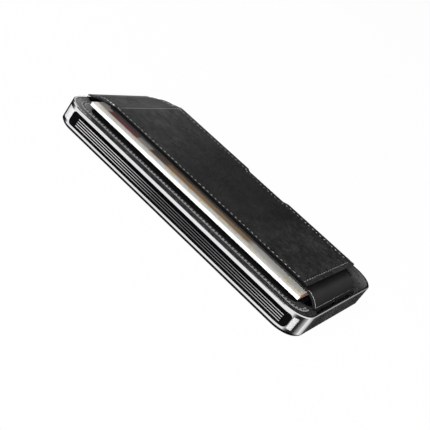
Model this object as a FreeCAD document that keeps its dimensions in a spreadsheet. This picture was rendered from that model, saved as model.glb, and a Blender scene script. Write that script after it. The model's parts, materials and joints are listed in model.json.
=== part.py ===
"""Slim metal card case with leather trims and a hinged, leather-covered money clip.

Frame: millimetres, origin at the centre of the base, +Z up.
X runs along the case: the card mouth is at -X, the clip's hinge at +X.
Y runs across the case. The cards leave towards -X, the banknotes towards -Y.
"""
import math
import os
import re

import FreeCAD
import Part
import Sketcher

SIZES = {
    # case: its length, width and height follow from the cards and these walls
    "side_wall": 3.7,
    "near_block": 12.69,
    "card_headroom": 0.64,
    "corner_radius": 7.6,
    "base_bevel": 0.5,
    "rim_bevel": 0.25,
    "floor_thickness": 1.2,
    "lip_width": 0.7,
    # deck plate, which roofs the card space
    "deck_thickness": 1.2,
    "deck_wall": 2.0,
    "deck_near_inset": 5.8,
    # leather trims let into the top
    "trim_thickness": 0.95,
    "trim_sink": 0.05,
    "trim_width": 3.9,
    "trim_end_width": 5.7,
    "trim_gap": 0.05,
    "window_radius": 4.0,
    "slot_flare_length": 3.4,
    # ribbed channels along the two long sides
    "rail_low": 1.55,
    "rail_high": 1.2,
    "channel_depth": 1.45,
    "channel_near_inset": 3.7,
    "channel_far_inset": 5.7,
    "channel_radius": 1.2,
    "rib_near_inset": 6.0,
    "rib_far_inset": 8.6,
    "insert_base": 0.3,
    "insert_gap": 0.05,
    "rib_inset": 0.9,
    "rib_pitch": 0.76,
    "rib_thickness": 0.3,
    "rib_recess": 0.25,
    # cards
    "card_count": 4.0,
    "card_length": 85.6,
    "card_width": 53.98,
    "card_thickness": 0.76,
    "card_radius": 3.18,
    "card_gap": 0.08,
    "card_side_gap": 0.31,
    "card_setback": 1.4,
    # openings in the floor
    "thumb_notch_radius": 9.0,
    "push_slot_length": 32.0,
    "push_slot_width": 16.0,
    "push_slot_inset": 9.31,
    # side springs that hold the cards by friction
    "side_spring_length": 20.0,
    "side_spring_height": 2.4,
    "side_spring_thickness": 0.15,
    "side_spring_gap": 0.06,
    "spring_pocket_depth": 0.7,
    "side_spring_setback": 28.6,
    "side_spring_crown": 5.0,
    # clip: everything is centred on this line
    "clip_middle": -2.4,
    "leaf_side_gap": 1.0,
    "clip_slot_flare": 3.0,
    "pocket_length": 4.6,
    # clip hinge
    "hinge_inset": 2.95,
    "knuckle_clearance": 0.165,
    "pin_radius": 0.6,
    "pin_play": 0.05,
    "pin_end_gap": 0.6,
    "knuckle_gap": 0.12,
    "lug_width": 3.0,
    "lug_edge": 6.6,
    "lug_wall": 0.75,
    "bracket_thickness": 0.8,
    "bracket_gap": 0.1,
    "wire_radius": 0.18,
    "wire_gap": 0.06,
    "coil_turns": 5.0,
    "leg_up_angle": 35.0,
    "leg_down_angle": 150.0,
    "spring_gap_width": 5.0,
    # clip leaf
    "leaf_width": 33.2,
    "leaf_thickness": 0.8,
    "leaf_bend_radius": 6.6,
    "leaf_bend_angle": 66.0,
    "leaf_far_reach": 3.0,
    # stiffening board and grip pad
    "board_thickness": 0.75,
    "board_side_inset": 2.5,
    "board_near_gap": 1.5,
    "board_seam_gap": 0.1,
    "pad_thickness": 0.79,
    "pad_width": 24.0,
    "pad_gap": 0.1,
    # leather cover
    "cover_width": 42.0,
    "cover_thickness": 1.3,
    "cover_near_inset": 7.6,
    "cover_seam_inset": 12.0,
    "cover_tip_inset": 0.1,
    "cover_tip_width": 33.8,
    "cover_tip_lift": 0.1,
    "cover_tip_thickness": 0.6,
    "cover_tip_bulge": 0.75,
    "notch_middle": 4.0,
    "notch_length": 18.4,
    "notch_depth": 1.7,
    "notch_slant": 1.6,
    # rivets and screws
    "rivet_radius": 0.6,
    "rivet_head_radius": 1.3,
    "rivet_head_height": 0.4,
    "rivet_inset": 3.2,
    "rivet_edge": 3.6,
    "screw_radius": 0.5,
    "screw_head_radius": 0.85,
    "screw_head_height": 0.5,
    "screw_length": 3.4,
    "screw_socket_radius": 0.4,
    "screw_socket_depth": 0.3,
    "deck_screw_inset": 8.0,
    "deck_screw_wall": 0.2,
    "bracket_screw_length": 2.6,
    "bracket_screw_edge": 4.1,
    # folded banknotes
    "note_far_inset": 4.8,
    "note_near_reach": 0.7,
    "note_width": 41.0,
    "note_thickness": 0.12,
    "note_gap": 0.02,
    "note_layers": 6.0,
    "note_tuck": 0.2,
    "note_lift": 0.1,
    "grip_gap": 0.06,
    # general
    "fit_gap": 0.05,
    "fuse_depth": 0.1,
    "over": 1.0,
}

RIB_COUNT = 4
CARD_COUNT = int(SIZES["card_count"])
NOTE_COUNT = int(SIZES["note_layers"])
PARALLEL = 0.99      # cosine above which an edge counts as running along a pad
TOLERANCE = 1e-6

doc = FreeCAD.newDocument("card_case")

# ---------------------------------------------------------------- sheet
sheet = doc.addObject("Spreadsheet::Sheet", "Sizes")
for row, (alias, value) in enumerate(SIZES.items(), start=1):
    sheet.set(f"A{row}", alias)
    sheet.set(f"B{row}", repr(value))
    sheet.setAlias(f"B{row}", alias)

# Sizes that several pieces share, each worked out once from the ones above.
DERIVED = {
    "case_length": "card_setback + card_length + card_side_gap + near_block",
    "case_width": "card_width + 2 * (card_side_gap + side_wall)",
    "half_length": "case_length / 2",
    "half_width": "case_width / 2",
    "deck_floor": "floor_thickness + card_count * (card_thickness + card_gap) + card_headroom",
    "trim_floor": "deck_floor + deck_thickness",
    "case_height": "trim_floor + trim_thickness + trim_sink",
    "deck_half": "half_width - deck_wall",
    "deck_far": "deck_wall - half_length",
    "deck_near": "half_length - deck_near_inset",
    "deck_screw_y": "cavity_half + deck_screw_wall + screw_radius",
    "cavity_half": "card_width / 2 + card_side_gap",
    "card_far": "card_setback - half_length",
    "cavity_near": "card_far + card_length + card_side_gap",
    "push_slot_near": "cavity_near - push_slot_inset",
    "push_slot_far": "push_slot_near - push_slot_length",
    "side_spring_middle": "card_far + side_spring_setback",
    "channel_height": "case_height - rail_low - rail_high",
    "channel_floor": "half_width - channel_depth",
    "rib_first": "rail_low + rib_inset",
    "rib_depth": "channel_depth - insert_base - rib_recess",
    "window_half_x": "half_length - lip_width - trim_end_width",
    "window_half_y": "half_width - lip_width - trim_width",
    "clip_slot_width": "leaf_width + 2 * leaf_side_gap",
    "note_pitch": "note_thickness + note_gap",
    "notes_floor": "case_height + note_lift",
    "notes_top": "notes_floor + note_pitch * (note_layers + 1) + note_thickness",
    "note_side": "clip_middle - cover_width / 2 + note_tuck",
    "note_far": "note_far_inset - half_length",
    "note_near": "bend_x + note_near_reach",
    "leaf_low": "notes_top + grip_gap + pad_thickness",
    "leaf_top": "leaf_low + leaf_thickness",
    "leaf_far": "cover_seam - leaf_far_reach",
    "cover_base": "leaf_top + board_thickness",
    "cover_top": "cover_base + cover_thickness",
    "cover_near": "half_length - cover_near_inset",
    "cover_seam": "cover_seam_inset - half_length",
    "cover_tip": "cover_tip_inset - half_length",
    "knuckle_radius": "pin_radius + leaf_thickness",
    "lug_radius": "pin_radius + lug_wall",
    "hinge_x": "half_length - hinge_inset",
    "bend_x": "hinge_x - (leaf_bend_radius - knuckle_radius) * sin(leaf_bend_angle * 1 deg)",
    "bend_z": "leaf_top - leaf_bend_radius",
    "hinge_z": "bend_z + (leaf_bend_radius - knuckle_radius) * cos(leaf_bend_angle * 1 deg)",
    "bracket_top": "hinge_z - knuckle_radius - knuckle_clearance",
    "pocket_floor": "bracket_top - bracket_thickness",
    "pocket_near": "half_length - lip_width",
    "bracket_screw_x": "pocket_near - pocket_length / 2",
    "board_far": "cover_seam + board_seam_gap",
    "board_near": "bend_x - board_near_gap",
    "pad_far": "board_far + rivet_inset + rivet_head_radius + pad_gap",
    "pad_near": "board_near - rivet_inset - rivet_head_radius - pad_gap",
}
first = len(SIZES) + 1
for row, (alias, formula) in enumerate(DERIVED.items(), start=first):
    sheet.set(f"A{row}", alias)
    sheet.set(f"B{row}", "=" + formula)
    sheet.setAlias(f"B{row}", alias)
doc.recompute()


WORDS = re.compile(r"\b(" + "|".join([*SIZES, *DERIVED]) + r")\b")
ALONG_Y = FreeCAD.Rotation(FreeCAD.Vector(1, 1, 1), 240)   # local Z lies along +Y, local X along +Z


# ---------------------------------------------------------------- helpers
def number(formula):
    """The value of a formula of the sheet's words."""
    value = sheet.evalExpression(formula)
    return float(getattr(value, "Value", value))


def bind(target, path, formula):
    """Tie one property to a formula of the sheet's words."""
    target.setExpression(path, WORDS.sub(r"Sizes.\1", formula))


def place(thing, x="0", y="0", z="0", rotation=None):
    """Bind an object's position, with an optional fixed rotation."""
    if rotation is not None:
        thing.Placement = FreeCAD.Placement(FreeCAD.Vector(), rotation)
    for axis, formula in zip("xyz", (x, y, z)):
        bind(thing, f"Placement.Base.{axis}", formula)
    return thing


def box(name, low_x, high_x, low_y, high_y, low_z, high_z):
    """A block between two corners, each given as a formula."""
    block = doc.addObject("Part::Box", name)
    bind(block, "Length", f"({high_x}) - ({low_x})")
    bind(block, "Width", f"({high_y}) - ({low_y})")
    bind(block, "Height", f"({high_z}) - ({low_z})")
    return place(block, low_x, low_y, low_z)


def rod(name, radius, length, x, y, z, rotation=None, angle=None):
    """A cylinder that starts at x, y, z and runs up, or along +Y with ALONG_Y."""
    cylinder = doc.addObject("Part::Cylinder", name)
    bind(cylinder, "Radius", radius)
    bind(cylinder, "Height", length)
    if angle:
        bind(cylinder, "Angle", angle)
    return place(cylinder, x, y, z, rotation)


def fuse(name, parts):
    """One solid from several."""
    joined = doc.addObject("Part::MultiFuse", name)
    joined.Shapes = parts
    joined.Refine = True
    return joined


def cut(name, base, tools):
    """base with every tool taken away."""
    result = doc.addObject("Part::Cut", name)
    result.Base = base
    result.Tool = tools[0] if len(tools) == 1 else fuse(name + "_tools", tools)
    result.Refine = True
    return result


def common(name, first_shape, second_shape):
    """What two shapes share."""
    shared = doc.addObject("Part::Common", name)
    shared.Base = first_shape
    shared.Tool = second_shape
    return shared


def group(name, parts):
    """Several separate solids kept in one node."""
    compound = doc.addObject("Part::Compound", name)
    compound.Links = parts
    return compound


def prism(name, points, start, depth, plane="XY_Plane", corner_radius=None):
    """A Body padded from a closed outline of straight sides.

    points are pairs of formulas. In XY_Plane they are x, y and the pad runs up
    from z = start. In XZ_Plane they are x, z and the pad runs towards -Y from
    y = start. corner_radius rounds every edge that runs along the pad.
    """
    body = doc.addObject("PartDesign::Body", name)
    sketch = body.newObject("Sketcher::SketchObject", name + "_outline")
    origin = next(item for item in body.Origin.OriginFeatures if item.Role == plane)
    sketch.AttachmentSupport = [(origin, "")]
    sketch.MapMode = "FlatFace"
    upright = plane == "XZ_Plane"
    bind(sketch, "AttachmentOffset.Base.z", f"-({start})" if upright else start)
    corners = [FreeCAD.Vector(number(u), number(v), 0) for u, v in points]
    count = len(corners)
    for i in range(count):
        sketch.addGeometry(Part.LineSegment(corners[i], corners[(i + 1) % count]), False)
    for i in range(count):
        sketch.addConstraint(Sketcher.Constraint("Coincident", i, 2, (i + 1) % count, 1))
    for i, pair in enumerate(points):
        for kind, formula in zip(("DistanceX", "DistanceY"), pair):
            index = sketch.addConstraint(Sketcher.Constraint(kind, -1, 1, i, 1, number(formula)))
            bind(sketch, f"Constraints[{index}]", formula)
    pad = body.newObject("PartDesign::Pad", name + "_pad")
    pad.Profile = sketch
    bind(pad, "Length", depth)
    if corner_radius:
        doc.recompute()
        run = FreeCAD.Vector(0, 1, 0) if upright else FreeCAD.Vector(0, 0, 1)
        names = [f"Edge{i}" for i, edge in enumerate(pad.Shape.Edges, start=1)
                 if abs(edge.tangentAt(edge.FirstParameter).dot(run)) > PARALLEL]
        fillet = body.newObject("PartDesign::Fillet", name + "_corners")
        fillet.Base = (pad, names)
        bind(fillet, "Radius", corner_radius)
        body.Tip = fillet
    return body


def rectangle(low_x, high_x, low_y, high_y):
    """The four corners of a rectangle, for prism."""
    return [(low_x, low_y), (high_x, low_y), (high_x, high_y), (low_x, high_y)]


def bevel(body, height, depth):
    """Chamfer the flat face that lies at a given height of a Body."""
    doc.recompute()
    level = number(height)
    base = body.Tip
    faces = [f"Face{i}" for i, face in enumerate(base.Shape.Faces, start=1)
             if abs(face.BoundBox.ZMin - level) < TOLERANCE and abs(face.BoundBox.ZMax - level) < TOLERANCE]
    chamfer = body.newObject("PartDesign::Chamfer", f"{body.Name}_bevel")
    chamfer.Base = (base, faces)
    bind(chamfer, "Size", depth)
    body.Tip = chamfer
    return body


pieces = {}


def keep(node, shape):
    """Name one finished piece of the object."""
    shape.Label = node
    pieces[node] = shape
    return shape


def mirrored(node, shape):
    """The same piece on the other side of the case's middle plane."""
    twin = doc.addObject("Part::Mirroring", node)
    twin.Source = shape
    twin.Normal = FreeCAD.Vector(0, 1, 0)
    return twin


# ---------------------------------------------------------------- screws and rivets
def screw(name, x, y, head_top, length):
    """A countersunk socket screw that points down, with its head's top at head_top."""
    head = doc.addObject("Part::Cone", name + "_head")
    bind(head, "Radius1", "screw_radius")
    bind(head, "Radius2", "screw_head_radius")
    bind(head, "Height", "screw_head_height")
    place(head, x, y, f"{head_top} - screw_head_height")
    shank = rod(name + "_shank", "screw_radius", length, x, y, f"{head_top} - ({length})")
    socket = rod(name + "_socket", "screw_socket_radius", "screw_socket_depth", x, y,
                 f"{head_top} - screw_socket_depth")
    return cut(name, fuse(name + "_blank", [head, shank]), [socket])


def screw_hole(name, x, y, head_top, length):
    """The hole that a screw of the same place and length fills."""
    head = doc.addObject("Part::Cone", name + "_sink")
    bind(head, "Radius1", "screw_radius")
    bind(head, "Radius2", "screw_head_radius")
    bind(head, "Height", "screw_head_height")
    place(head, x, y, f"{head_top} - screw_head_height")
    shank = rod(name + "_bore", "screw_radius", length, x, y, f"{head_top} - ({length})")
    return fuse(name, [head, shank])


def rivet(name, x, y):
    """A flush-topped rivet through the board and the leaf, with a flat head below."""
    shank = rod(name + "_shank", "rivet_radius", "cover_base - leaf_low", x, y, "leaf_low")
    head = rod(name + "_head", "rivet_head_radius", "rivet_head_height", x, y,
               "leaf_low - rivet_head_height")
    return fuse(name, [shank, head])


DECK_SCREWS = [(x, f"({side}) * deck_screw_y")
               for x in ("deck_far + deck_screw_inset", "(deck_far + deck_near) / 2",
                         "deck_near - deck_screw_inset") for side in (-1, 1)]
BRACKET_SCREWS = [("bracket_screw_x", f"clip_middle + ({side}) * (clip_slot_width / 2 - bracket_screw_edge)")
                  for side in (-1, 1)]
RIVETS = [(x, f"clip_middle + ({side}) * (leaf_width / 2 - rivet_edge)")
          for x in ("board_far + rivet_inset", "board_near - rivet_inset") for side in (-1, 1)]
LUGS = [f"clip_middle + ({side}) * (leaf_width / 2 - lug_edge)" for side in (-1, 1)]


# ---------------------------------------------------------------- chassis
def chassis():
    """The metal case: a tray with ribbed channels, an open far mouth and a hinge pocket."""
    outer = prism("case_outer", rectangle("-half_length", "half_length", "-half_width", "half_width"),
                  "0", "case_height", corner_radius="corner_radius")
    bevel(outer, "0", "base_bevel")
    bevel(outer, "case_height", "rim_bevel")
    trim_seat = prism("trim_seat", rectangle("lip_width - half_length", "half_length - lip_width",
                                             "lip_width - half_width", "half_width - lip_width"),
                      "trim_floor", "trim_thickness + trim_sink + over",
                      corner_radius="corner_radius - lip_width")
    deck_seat = prism("deck_seat", rectangle("deck_far", "deck_near", "-deck_half", "deck_half"),
                      "deck_floor", "deck_thickness + over", corner_radius="corner_radius - deck_wall")
    cavity = box("card_space", "-half_length - over", "cavity_near", "-cavity_half", "cavity_half",
                 "floor_thickness", "deck_floor + over")
    pocket = box("hinge_pocket", "pocket_near - pocket_length", "pocket_near",
                 "clip_middle - clip_slot_width / 2", "clip_middle + clip_slot_width / 2",
                 "pocket_floor", "case_height + over")
    thumb_notch = rod("thumb_notch", "thumb_notch_radius", "floor_thickness + 2 * over",
                      "-half_length", "0", "-over")
    push_slot = prism("push_slot", rectangle("push_slot_far", "push_slot_near",
                                             "-push_slot_width / 2", "push_slot_width / 2"),
                      "-over", "floor_thickness + 2 * over", corner_radius="push_slot_width / 2 - fit_gap")
    tools = [trim_seat, deck_seat, cavity, pocket, thumb_notch, push_slot]
    for side, edge in (("left", "-channel_floor"), ("right", "half_width + over")):
        tools.append(prism(f"channel_{side}", rectangle("channel_far_inset - half_length",
                                                        "half_length - channel_near_inset",
                                                        "rail_low", "case_height - rail_high"),
                           edge, "channel_depth + over", "XZ_Plane", "channel_radius"))
    for side, low, high in (("left", "-cavity_half - spring_pocket_depth", "-cavity_half + over"),
                            ("right", "cavity_half - over", "cavity_half + spring_pocket_depth")):
        tools.append(box(f"spring_pocket_{side}",
                         "side_spring_middle - side_spring_length / 2 - side_spring_gap",
                         "side_spring_middle + side_spring_length / 2 + side_spring_gap", low, high,
                         "floor_thickness", "deck_floor + over"))
    tools += [rod(f"deck_bore_{i}", "screw_radius", "screw_length", x, y, "trim_floor - screw_length")
              for i, (x, y) in enumerate(DECK_SCREWS)]
    tools += [rod(f"bracket_bore_{i}", "screw_radius", "bracket_screw_length", x, y,
                  "bracket_top - bracket_screw_length") for i, (x, y) in enumerate(BRACKET_SCREWS)]
    keep("chassis_frame", cut("chassis_frame", outer, tools))


def deck():
    """The black plate that roofs the cards and floors the window."""
    plate = prism("deck_blank", rectangle("deck_far + fit_gap", "deck_near - fit_gap",
                                          "fit_gap - deck_half", "deck_half - fit_gap"),
                  "deck_floor", "deck_thickness", corner_radius="corner_radius - deck_wall - fit_gap")
    holes = [screw_hole(f"deck_hole_{i}", x, y, "trim_floor", "deck_thickness + over")
             for i, (x, y) in enumerate(DECK_SCREWS)]
    keep("deck_plate", cut("deck_plate", plate, holes))
    keep("deck_screws", group("deck_screws", [screw(f"deck_screw_{i}", x, y, "trim_floor", "screw_length")
                                              for i, (x, y) in enumerate(DECK_SCREWS)]))


def trims():
    """Two C-shaped leather trims, parted by the clip's slot at each end."""
    gap = "lip_width + trim_gap"
    sheet_of_leather = prism("trim_blank", rectangle(f"{gap} - half_length", f"half_length - ({gap})",
                                                     f"{gap} - half_width", f"half_width - ({gap})"),
                             "trim_floor", "trim_thickness", corner_radius=f"corner_radius - ({gap})")
    window = prism("trim_window", rectangle("-window_half_x", "window_half_x",
                                            "-window_half_y", "window_half_y"),
                   "trim_floor - over", "trim_thickness + 2 * over", corner_radius="window_radius")
    narrow, wide = "clip_slot_width / 2", "clip_slot_width / 2 + clip_slot_flare"
    mouth, inner = "window_half_x + slot_flare_length", "window_half_x - over"
    tools = [window]
    for end, sign in (("near", ""), ("far", "-")):
        tools.append(prism(f"slot_{end}", [
            (f"{sign}({inner})", f"clip_middle - ({wide})"), (f"{sign}({mouth})", f"clip_middle - {narrow}"),
            (f"{sign}(half_length + over)", f"clip_middle - {narrow}"),
            (f"{sign}(half_length + over)", f"clip_middle + {narrow}"),
            (f"{sign}({mouth})", f"clip_middle + {narrow}"), (f"{sign}({inner})", f"clip_middle + {wide}")],
            "trim_floor - over", "trim_thickness + 2 * over"))
    both = cut("trims_both", sheet_of_leather, tools)
    reach = "half_length + over", "half_width + over"
    for side, low, high in (("left", f"-({reach[1]})", "clip_middle"), ("right", "clip_middle", reach[1])):
        half = box(f"half_{side}", f"-({reach[0]})", reach[0], low, high, "0", "cover_top")
        keep(f"leather_trim_{side}", common(f"leather_trim_{side}", both, half))


def rib_inserts():
    """Finned inserts that fill the side channels."""
    base = prism("insert_base", rectangle("channel_far_inset - half_length + insert_gap",
                                          "half_length - channel_near_inset - insert_gap",
                                          "rail_low + insert_gap", "rail_low + channel_height - insert_gap"),
                 "-channel_floor", "insert_base", "XZ_Plane", "channel_radius - insert_gap")
    ribs = [box(f"rib_{i}", "rib_far_inset - half_length", "half_length - rib_near_inset",
                "-channel_floor - insert_base - rib_depth", "fuse_depth - channel_floor - insert_base",
                f"rib_first + {i} * rib_pitch - rib_thickness / 2",
                f"rib_first + {i} * rib_pitch + rib_thickness / 2") for i in range(RIB_COUNT)]
    left = keep("rib_insert_left", fuse("rib_insert_left", [base, *ribs]))
    keep("rib_insert_right", mirrored("rib_insert_right", left))


def side_springs():
    """Bowed strips that press on the cards' long edges."""
    for side, sign in (("left", "-"), ("right", "")):
        foot = f"{sign}(cavity_half + spring_pocket_depth)"
        crown = f"{sign}(card_width / 2 + side_spring_gap)"
        inner = f"{sign}(card_width / 2 + side_spring_gap + side_spring_thickness)"
        heel = f"{sign}(cavity_half + spring_pocket_depth - side_spring_thickness)"
        near = "side_spring_middle + side_spring_length / 2"
        far = "side_spring_middle - side_spring_length / 2"
        strip = prism(f"side_spring_{side}", [
            (far, heel), ("side_spring_middle - side_spring_crown / 2", crown),
            ("side_spring_middle + side_spring_crown / 2", crown), (near, heel), (near, foot),
            ("side_spring_middle + side_spring_crown / 2", inner),
            ("side_spring_middle - side_spring_crown / 2", inner), (far, foot)],
            "(floor_thickness + deck_floor - side_spring_height) / 2", "side_spring_height")
        keep(f"side_spring_{side}", strip)


# ---------------------------------------------------------------- contents
def cards():
    """A stack of plain cards, lowest first."""
    for i in range(CARD_COUNT):
        blank = prism(f"card_blank_{i}", rectangle("card_far", "card_far + card_length",
                                                   "-card_width / 2", "card_width / 2"),
                      f"floor_thickness + card_gap + {i} * (card_thickness + card_gap)", "card_thickness",
                      corner_radius="card_radius")
        keep(f"card_{i + 1}", blank)


def banknotes():
    """One folded note wrapped round a stack of others."""
    low_x, high_x = "note_far", "note_near"
    far_side = "note_side + note_width"
    outside = box("note_outside", low_x, high_x, "note_side", far_side, "notes_floor", "notes_top")
    inside = box("note_inside", f"{low_x} - over", f"{high_x} + over", "note_side - over",
                 f"{far_side} - note_thickness", "notes_floor + note_thickness", "notes_top - note_thickness")
    keep("banknote_outer", cut("banknote_outer", outside, [inside]))
    layers = [box(f"note_layer_{i}", low_x, high_x, "note_side", f"{far_side} - 2 * note_thickness",
                  f"notes_floor + ({i} + 1) * note_pitch",
                  f"notes_floor + ({i} + 1) * note_pitch + note_thickness")
              for i in range(NOTE_COUNT)]
    keep("banknote_stack", group("banknote_stack", layers))


# ---------------------------------------------------------------- hinge
def hinge():
    """Bracket, its screws, the pin and the torsion spring."""
    low_x, high_x = "pocket_near - pocket_length + bracket_gap", "pocket_near - bracket_gap"
    base = box("bracket_base", low_x, high_x, "clip_middle - clip_slot_width / 2 + bracket_gap",
               "clip_middle + clip_slot_width / 2 - bracket_gap", "pocket_floor", "bracket_top")
    parts = [base]
    for i, y in enumerate(LUGS):
        parts.append(rod(f"lug_eye_{i}", "lug_radius", "lug_width", "hinge_x",
                         f"{y} - lug_width / 2", "hinge_z", ALONG_Y))
        parts.append(box(f"lug_foot_{i}", "hinge_x - lug_radius", "hinge_x + lug_radius",
                         f"{y} - lug_width / 2", f"{y} + lug_width / 2",
                         "bracket_top - fuse_depth", "hinge_z"))
    bore = rod("bracket_bore", "pin_radius", "leaf_width", "hinge_x", "clip_middle - leaf_width / 2",
               "hinge_z", ALONG_Y)
    holes = [screw_hole(f"bracket_hole_{i}", x, y, "bracket_top", "bracket_thickness + over")
             for i, (x, y) in enumerate(BRACKET_SCREWS)]
    keep("hinge_bracket", cut("hinge_bracket", fuse("bracket_blank", parts), [bore, *holes]))
    keep("bracket_screws", group("bracket_screws", [
        screw(f"bracket_screw_{i}", x, y, "bracket_top", "bracket_screw_length")
        for i, (x, y) in enumerate(BRACKET_SCREWS)]))
    keep("hinge_pin", rod("hinge_pin", "pin_radius", "clip_slot_width - 2 * pin_end_gap", "hinge_x",
                          "clip_middle - clip_slot_width / 2 + pin_end_gap", "hinge_z", ALONG_Y))
    keep("torsion_spring", torsion_spring())


def torsion_spring():
    """A coil round the pin, with one leg under the leaf and one on the bracket.

    It is drawn about local Z, with local X up and local Y towards +X.
    """
    wire, gap = number("wire_radius"), number("wire_gap")
    coil_radius = number("pin_radius") + gap + wire
    start, end = math.radians(number("leg_up_angle")), math.radians(number("leg_down_angle"))
    turns = number("coil_turns") + (end - start) / math.tau
    pitch = 2 * wire + gap
    helix = Part.makeHelix(pitch, pitch * turns, coil_radius)
    helix.rotate(FreeCAD.Vector(), FreeCAD.Vector(0, 0, 1), math.degrees(start))

    # The upper leg ends against the inside of the leaf's bend.
    bend = FreeCAD.Vector(number("bend_z - hinge_z"), number("bend_x - hinge_x"), 0)
    root = FreeCAD.Vector(coil_radius * math.cos(start), coil_radius * math.sin(start), 0)
    up = FreeCAD.Vector(math.sin(start), -math.cos(start), 0)
    reach = number("leaf_bend_radius - leaf_thickness") - wire - gap
    offset = root - bend
    along = offset.dot(up)
    upper_length = -along + math.sqrt(along ** 2 - offset.dot(offset) + reach ** 2)

    # The lower leg ends on the bracket's plate.
    tail = FreeCAD.Vector(coil_radius * math.cos(end), coil_radius * math.sin(end), pitch * turns)
    down = FreeCAD.Vector(-math.sin(end), math.cos(end), 0)
    plate = number("bracket_top - hinge_z") + wire + gap
    lower_length = (tail.x - plate) / -down.x

    path = Part.Wire([Part.makeLine(root + up * upper_length, root), *helix.Edges,
                      Part.makeLine(tail, tail + down * lower_length)])
    section = Part.Wire(Part.makeCircle(wire, root + up * upper_length, up))
    spring = doc.addObject("Part::Feature", "torsion_spring")
    spring.Shape = path.makePipeShell([section], True, True)
    place(spring, "hinge_x", f"clip_middle - {pitch * turns / 2}", "hinge_z", ALONG_Y)
    return spring


# ---------------------------------------------------------------- clip
def clip():
    """The swinging clip: steel leaf, board, grip pad, rivets and leather cover."""
    leaf_low_y, leaf_high_y = "clip_middle - leaf_width / 2", "clip_middle + leaf_width / 2"
    flat = box("leaf_flat", "leaf_far", "bend_x", leaf_low_y, leaf_high_y, "leaf_low", "leaf_top")
    bend = cut("leaf_bend", rod("bend_outer", "leaf_bend_radius", "leaf_width", "bend_x", leaf_low_y,
                                "bend_z", ALONG_Y, "leaf_bend_angle"),
               [rod("bend_inner", "leaf_bend_radius - leaf_thickness", "leaf_width + 2 * over", "bend_x",
                    f"{leaf_low_y} - over", "bend_z", ALONG_Y)])
    knuckle = rod("knuckle", "knuckle_radius", "leaf_width", "hinge_x", leaf_low_y, "hinge_z", ALONG_Y)
    tools = [rod("knuckle_bore", "pin_radius + pin_play", "leaf_width + 2 * over", "hinge_x",
                 f"{leaf_low_y} - over", "hinge_z", ALONG_Y)]
    gaps = [(y, "lug_width + 2 * knuckle_gap") for y in LUGS] + [("clip_middle", "spring_gap_width")]
    for i, (y, width) in enumerate(gaps):
        tools.append(rod(f"knuckle_gap_{i}", "knuckle_radius + knuckle_gap", width, "hinge_x",
                         f"{y} - ({width}) / 2", "hinge_z", ALONG_Y))
    tools += [rod(f"leaf_hole_{i}", "rivet_radius", "leaf_thickness + 2 * over", x, y,
                  "leaf_low - over") for i, (x, y) in enumerate(RIVETS)]
    keep("clip_leaf", cut("clip_leaf", fuse("leaf_blank", [flat, bend, knuckle]), tools))

    board_half = "(cover_width / 2 - board_side_inset)"
    board = box("board_blank", "board_far", "board_near", f"clip_middle - {board_half}",
                f"clip_middle + {board_half}", "leaf_top", "cover_base")
    board_holes = [rod(f"board_hole_{i}", "rivet_radius", "cover_base - leaf_top + 2 * over", x, y,
                       "leaf_top - over") for i, (x, y) in enumerate(RIVETS)]
    keep("clip_board", cut("clip_board", board, board_holes))
    keep("clip_rivets", group("clip_rivets", [rivet(f"rivet_{i}", x, y) for i, (x, y) in enumerate(RIVETS)]))
    keep("grip_pad", box("grip_pad", "pad_far", "pad_near", "clip_middle - pad_width / 2",
                         "clip_middle + pad_width / 2", "notes_top + grip_gap", "leaf_low"))
    keep("clip_cover", cover())


def cover():
    """The stitched leather cover: flat over the clip, sloping down to the far rim."""
    near, seam, tip = "cover_near", "cover_seam", "cover_tip"
    tip_low = "case_height + cover_tip_lift"
    tip_top = "case_height + cover_tip_lift + cover_tip_thickness"
    middle = "(cover_seam + cover_tip) / 2"
    side = prism("cover_side", [
        (near, "cover_base"), (near, "cover_top"), (seam, "cover_top"),
        (middle, f"(cover_top + {tip_top}) / 2 + cover_tip_bulge"), (tip, tip_top), (tip, tip_low),
        (middle, f"(cover_base + {tip_low}) / 2 + cover_tip_bulge"), (seam, "cover_base")],
        "clip_middle + cover_width / 2 + over", "cover_width + 2 * over", "XZ_Plane")
    low_y, high_y = "clip_middle - cover_width / 2", "clip_middle + cover_width / 2"
    notch_low, notch_high = "notch_middle - notch_length / 2", "notch_middle + notch_length / 2"
    plan = prism("cover_plan", [
        (near, low_y), (near, high_y), (notch_high, high_y),
        (f"{notch_high} - notch_slant", f"{high_y} - notch_depth"),
        (f"{notch_low} + notch_slant", f"{high_y} - notch_depth"), (notch_low, high_y), (seam, high_y),
        (tip, "clip_middle + cover_tip_width / 2"), (tip, "clip_middle - cover_tip_width / 2"),
        (seam, low_y)],
        "0", "cover_top + over")
    return common("clip_cover", side, plan)


chassis()
deck()
trims()
rib_inserts()
side_springs()
cards()
banknotes()
hinge()
clip()
doc.recompute()

# ---------------------------------------------------------------- check and write
faults = [f"{item.Name} {item.State}" for item in doc.Objects
          if "Invalid" in item.State or "Error" in item.State]
faults += [f"{node} has no valid solid" for node, piece in pieces.items()
           if piece.Shape.isNull() or not piece.Shape.isValid() or not piece.Shape.Solids]
if faults:
    raise SystemExit("part.py stopped: " + "; ".join(faults))

os.makedirs("parts", exist_ok=True)
for node, piece in pieces.items():
    piece.Shape.exportStep(f"parts/{node}.step")
    bounds = piece.Shape.BoundBox
    print(f"{node:22s} {len(piece.Shape.Solids)} solid(s) {piece.Shape.Volume:10.3f} mm3"
          f"  x {bounds.XMin:.2f}..{bounds.XMax:.2f}  y {bounds.YMin:.2f}..{bounds.YMax:.2f}"
          f"  z {bounds.ZMin:.2f}..{bounds.ZMax:.2f}")
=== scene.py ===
import bmesh, bpy, json, math
from mathutils import Matrix, Vector


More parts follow.
